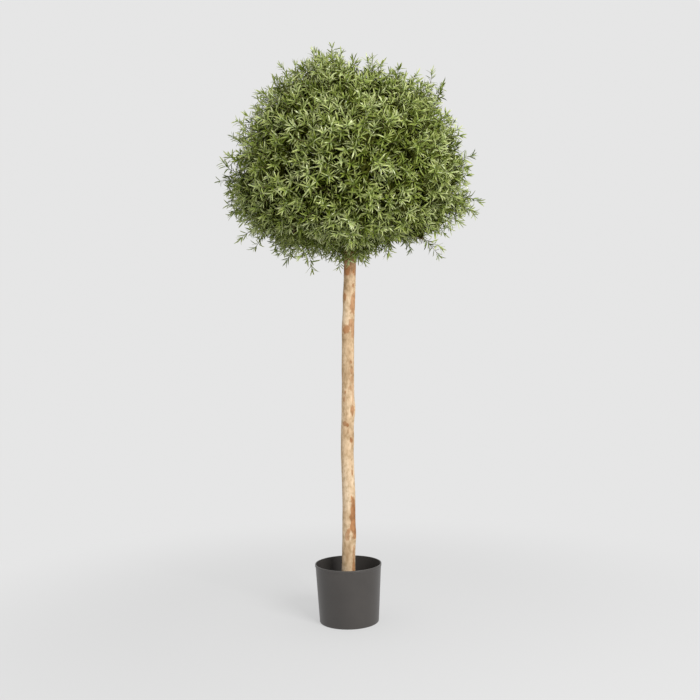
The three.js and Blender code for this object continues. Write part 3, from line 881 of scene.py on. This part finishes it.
def make_sprig_lines():
    random = np.random.default_rng(SEED)
    units = np.array(list(spread_units(SPRIG_COUNT, SPRIG_TRIES, random.random, SPRIG_LOWEST)))
    units = np.vstack([units, [aimed(turn, slope) for turn, slope, _ in LONG_SPRIGS]])
    long_reaches = [0] * SPRIG_COUNT + [reach for _, _, reach in LONG_SPRIGS]
    nearness = units @ twig_units.T
    lines = []
    reaches = zip(crown_reach(units), reach_along(units), long_reaches)
    for unit, near, (full, most, long_reach) in zip(units, nearness, reaches):
        twig = twigs[int(np.argmax(near))]
        off = math.acos(min(1, near.max()))
        share = -SPRIG_SHORT * random.random() - SPRIG_FALL * off ** 2
        if random.random() < PROUD_PART:
            share = PROUD_REACH * random.random()
        reach = min(full + most * share, most * SPRIG_LIMIT[0] + SPRIG_LIMIT[1])
        tip = HUB + unit * ((long_reach or reach) - TUFT_HEIGHT)
        leave = LEAVE_AT - LEAVE_BY_ANGLE * off - LEAVE_BY_CHANCE * random.random()
        leave = max(LEAVE_NEAREST, leave)
        root, behind = bezier(twig, [leave, leave - LOOK_BACK])
        along = (root - behind) / np.linalg.norm(root - behind)
        stray = random.normal(0, SPRIG_STRAY, 3)
        way = unit + stray + np.array([0, 0, np.interp(unit[2], *SPRIG_LIFT)])
        way /= np.linalg.norm(way)
        length = np.linalg.norm(tip - root)
        leaving, arriving = SPRIG_BENDS
        line = (root, root + along * length * leaving, tip - way * length * arriving, tip)
        outer = bezier(line, CLEAR_PLACES)
        room = min(np.linalg.norm((place - pole_at(place[2]))[:2]) for place in outer)
        if room >= POLE_CLEAR or tip[2] >= POLE_TIP:
            lines.append(line)
    return lines


sprigs = make_sprig_lines()


def make_sprig_wires():
    groups = [(sprigs, SPRIG_RADII, SPRIG_STEPS)]
    make_wires("sprig_wires", groups, SPRIG_SIDES, bark_material("sprig_wire", SPRIG_COLOURS))


make_sprig_wires()

# Leaves. Narrow pointed leaves, 1.6 to 2.8 cm long, are moulded in green plastic and stand in a spiral round
# each wire, with a tighter tuft on its end. The batches of plastic differ a little in green, and painted
# shade makes leaves further back from a wire's tip a step darker. Each leaf has painted shade at its foot and
# a painted highlight at its tip. Deep inside stand broader ones, coloured nearly black as painted shade,
# which close the crown.

LEAF_WIDTH = 0.150  # this, the fold and the places of the rows are shares of a leaf's length
LEAF_FOLD = 0.034
LEAF_ROWS = (0.28, 0.74)
LEAF_TAPER = 0.84  # width at the second row, as a share of the first
LEAF_BENT = (0.7, 0.48)  # how much the first row has of the middle's bend, and the second of the tip's
# Each shape: how far the middle and the tip bend back from the straight, and the twist of the tip.
LEAF_SHAPES = [(0.04, -0.10, 0.2), (0.00, -0.34, -0.4), (0.06, 0.06, 0.5), (0.03, -0.22, 0.0)]
LEAF_LENGTH = 0.0215
LEAF_SIZES = (0.76, 1.28)
LEAF_SPACING = 0.0029  # along the wire, behind the tuft
LEAF_UNEVEN = (0.6, 1.4)
LEAF_TURN = 2.4  # each leaf stands this far round the wire from the last
LEAF_STRAY = 0.25
LEAF_TILTS = (38, 86)  # degrees away from the wire
LEAF_ROLL = 0.5
LEAVES_ON_SPRIG = (26, 32)
LEAFY_PART = 0.85  # of a wire at most
TIP_LEAVES = 6
TIP_SPACING = 0.0010
TIP_TILTS = (8, 58)
TIP_SIZE = 0.9
WIRE_STEPS = 40
WIRE_BACK = 0.004  # the length of wire over which its way is read
ALL_ROUND = 6.28  # about a full turn
PAINTED_SHADE_FROM = (9, 15, 21)  # leaves back from the tip where painted shade makes the batch a step darker
# Each batch: its name, share, colour, roughness and gloss. Painted shade also hands the later batches to
# leaves far back on a wire, and the last is reached only that way.
LEAF_TINTS = [
    ("light", 0.335, (0.374, 0.414, 0.168), 0.34, 0.72),
    ("fresh", 0.40, (0.284, 0.326, 0.088), 0.36, 0.62),
    ("mid", 0.215, (0.176, 0.218, 0.034), 0.37, 0.46),
    ("olive", 0.05, (0.100, 0.126, 0.011), 0.45, 0.20),
    ("deep", 0.0, (0.046, 0.058, 0.004), 0.55, 0.08),
]
# Painted shade: the inner leaves are coloured nearly black for the shaded depth of the crown.
INNER_PAINTED_SHADE_TINT = ("inner", 0.0, (0.042, 0.046, 0.005), 0.8, 0.05)
# A batch's colour from a leaf's foot to its tip, with painted shade at the foot and a painted highlight at
# the tip, and in patches.
LEAF_FOOT_SHADE_TIP_HIGHLIGHT = [(0.0, (0.50, 0.66, 0.30)), (0.4, (0.92, 0.97, 0.82)), (1.0, (1.14, 1.10, 1.30))]
LEAF_PATCHES = [(0.3, (0.88, 0.92, 0.85)), (0.7, (1.1, 1.05, 1.1))]
# The inner leaves: how many are dealt to each limb, and to which part of it.
INNER_ON_BOUGH = (100, (0.45, 1.0))
INNER_ON_STEM = (100, (0.1, 1.0))
INNER_ON_TWIG = (100, (0.06, 1.0))
INNER_ON_SPRIG = (8, (0.0, 0.65))
INNER_DEPTH = 0.050  # they keep this far inside the sprigs' ends
INNER_LENGTH = 0.046
INNER_SIZES = (0.8, 1.15)
INNER_TILTS = (50, 95)
INNER_BREADTH = 1.8
# Where way, facing, size, shape and tint start in a leaf's row, after its place.
LEAF_COLUMNS = (3, 6, 9, 10, 11)


def make_leaf_shapes():
    collection = bpy.data.collections.new("leaf_shapes")
    half = LEAF_WIDTH / 2
    rows = (((-half, 0), (0, -LEAF_FOLD), (half, 0)), ((-half * LEAF_TAPER, 0), (half * LEAF_TAPER, 0)))
    for number, (middle, end, twist) in enumerate(LEAF_SHAPES):
        backs = (middle * LEAF_BENT[0], middle + end * LEAF_BENT[1])
        points = [(0, 0, 0)]
        for place, back, row in zip(LEAF_ROWS, backs, rows):
            turn = twist * place
            for x, y in row:
                points.append((x * math.cos(turn) - y * math.sin(turn),
                               x * math.sin(turn) + y * math.cos(turn) + back, place))
        points.append((0, end, 1.0))
        faces = [(0, 1, 2), (0, 2, 3), (1, 4, 2), (2, 4, 5), (2, 5, 3), (4, 6, 5)]
        mesh = bpy.data.meshes.new(f"leaf_shape_{number}")
        mesh.from_pydata(points, [], faces)
        give_points(mesh, "along", [p[2] for p in points])
        collection.objects.link(bpy.data.objects.new(mesh.name, mesh))
    return collection


def leaf_tree():
    """Sets a leaf on each point, its length along one axis and its upper side facing another."""
    tree, given = start_tree("leaves", "Leaves", Places="Geometry", Shapes="Collection", Finish="Material")
    turn = add_node(tree, "FunctionNodeAxesToRotation", {
        "Primary Axis": carried(tree, "way", "FLOAT_VECTOR"),
        "Secondary Axis": carried(tree, "facing", "FLOAT_VECTOR")}, primary_axis="Z", secondary_axis="Y")
    pick = add_node(tree, "GeometryNodeCollectionInfo", {
        "Collection": given["Shapes"], "Separate Children": True})
    put = add_node(tree, "GeometryNodeInstanceOnPoints", {
        "Points": given["Places"], "Instance": pick.outputs["Instances"], "Pick Instance": True,
        "Instance Index": carried(tree, "shape", "INT"), "Rotation": turn.outputs["Rotation"],
        "Scale": carried(tree, "size", "FLOAT_VECTOR")})
    return end_tree(tree, put.outputs["Instances"], given["Finish"])


def leaf_material(tint, colour, roughness, gloss):
    material, tree, surface = blank_material(f"leaf_{tint}")
    # Painted shade darkens each leaf towards its foot, and a painted highlight pales it towards its tip.
    shade_and_highlight_stops = [(place, np.array(colour) * shade) for place, shade in LEAF_FOOT_SHADE_TIP_HIGHLIGHT]
    body = ramp(tree, point_value(tree, "along"), shade_and_highlight_stops)
    patches = ramp(tree, noise_on(tree, scale=70, detail=2), LEAF_PATCHES)
    feed(surface, {"Base Color": mixed(tree, body, patches), "Roughness": roughness,
                   "Specular IOR Level": gloss})
    return material


def any_side(stem, random):
    """A direction square to a stem, or one to each of several."""
    side = np.cross(stem, direction(random.random() * ALL_ROUND, random.random() - 0.5))
    return side / np.linalg.norm(side, axis=-1, keepdims=True)


def tilted(stem, out, tilt):
    """A leaf's way and the way it faces, once it is tilted away from the stem."""
    return stem * np.cos(tilt) + out * np.sin(tilt), stem * np.sin(tilt) - out * np.cos(tilt)


def points_along(path, run, places):
    return np.column_stack([np.interp(places, run, path[:, k]) for k in range(3)])


def deal_leaves():
    """Every leaf's place, way, facing, size, shape and tint."""
    random = np.random.default_rng(SEED + 1)
    tint_shares = np.cumsum([share for _, share, *_ in LEAF_TINTS])
    rows = []
    for line in sprigs:
        tint = int(np.searchsorted(tint_shares, random.random() * tint_shares[-1]))
        path = bezier(line, np.linspace(0, 1, WIRE_STEPS))
        run = np.concatenate([[0], np.cumsum(np.linalg.norm(np.diff(path, axis=0), axis=1))])
        count = int(min(random.integers(*LEAVES_ON_SPRIG), run[-1] * LEAFY_PART / LEAF_SPACING))
        number = np.arange(count)
        at_tip = number < TIP_LEAVES
        spacing = np.where(at_tip, TIP_SPACING, LEAF_SPACING * random.uniform(*LEAF_UNEVEN, count))
        along = run[-1] - np.cumsum(spacing)
        place = points_along(path, run, along)
        stem = place - points_along(path, run, along - WIRE_BACK)
        stem /= np.linalg.norm(stem, axis=1)[:, None]
        side = any_side(stem, random)
        turn = random.random() * ALL_ROUND + LEAF_TURN * number + random.normal(0, LEAF_STRAY, count)
        out = side * np.cos(turn)[:, None] + np.cross(stem, side) * np.sin(turn)[:, None]
        tilt = np.where(at_tip, random.uniform(*TIP_TILTS, count), random.uniform(*LEAF_TILTS, count))
        way, facing = tilted(stem, out, np.radians(tilt)[:, None])
        roll = random.normal(0, LEAF_ROLL, count)[:, None]
        facing = facing * np.cos(roll) + np.cross(way, facing) * np.sin(roll)
        size = LEAF_LENGTH * random.uniform(*LEAF_SIZES, count) * np.where(at_tip, TIP_SIZE, 1)
        # Painted shade: leaves further back from the tip take a darker batch.
        shaded_tint = tint + np.searchsorted(PAINTED_SHADE_FROM, number, side="right")
        shaded_tint = np.minimum(len(LEAF_TINTS) - 1, shaded_tint)
        shape = random.integers(0, len(LEAF_SHAPES), count)
        rows.append(np.column_stack([place, way, facing, size, shape, shaded_tint]))
    return np.vstack(rows)


def deal_inner_leaves():
    """The same for the inner leaves, without those that would come too far out."""
    random = np.random.default_rng(SEED + 2)
    limbs = [(mass["bough"], *INNER_ON_BOUGH) for mass in masses[:-1]]
    limbs += [(mass["stem"], *INNER_ON_STEM) for mass in masses]
    limbs += [(twig, *INNER_ON_TWIG) for twig in twigs]
    limbs += [(line, *INNER_ON_SPRIG) for line in sprigs]
    rows = []
    for line, count, part in limbs:
        shares = np.sort(random.uniform(*part, count))
        for place, behind in zip(bezier(line, shares), bezier(line, shares - LOOK_BACK)):
            stem = (place - behind) / np.linalg.norm(place - behind)
            side = any_side(stem, random)
            way, facing = tilted(stem, side, math.radians(random.uniform(*INNER_TILTS)))
            size = INNER_LENGTH * random.uniform(*INNER_SIZES)
            tip = place + way * size - HUB
            reach = np.linalg.norm(tip)
            if reach <= crown_reach(tip / reach)[0] - INNER_DEPTH:
                shape = random.integers(0, len(LEAF_SHAPES))
                rows.append((*place, *way, *facing, size, shape, len(LEAF_TINTS)))
    return np.array(rows)


def make_leaves():
    shapes = make_leaf_shapes()
    tree = leaf_tree()
    rows = np.vstack([deal_leaves(), deal_inner_leaves()])
    for number, (tint, _, *look) in enumerate([*LEAF_TINTS, INNER_PAINTED_SHADE_TINT]):
        chosen = rows[rows[:, -1] == number]
        place, way, facing, size, shape, _ = np.split(chosen, LEAF_COLUMNS, axis=1)
        breadth = INNER_BREADTH if tint == "inner" else 1
        seeds = bpy.data.meshes.new(f"leaf_places_{tint}")
        seeds.from_pydata(place.tolist(), [], [])
        for key, vectors in (("way", way), ("facing", facing), ("size", size * (breadth, 1, 1))):
            give_points(seeds, key, vectors, "FLOAT_VECTOR")
        give_points(seeds, "shape", shape.astype(np.int32), "INT")
        mesh = grown_mesh(f"leaves_{tint}", seeds, tree, Shapes=shapes, Finish=leaf_material(tint, *look))
        link_piece(f"leaves_{tint}", mesh, foliage_nodes)
    for shape in list(shapes.objects):
        bpy.data.objects.remove(shape)
    bpy.data.collections.remove(shapes)


make_leaves()
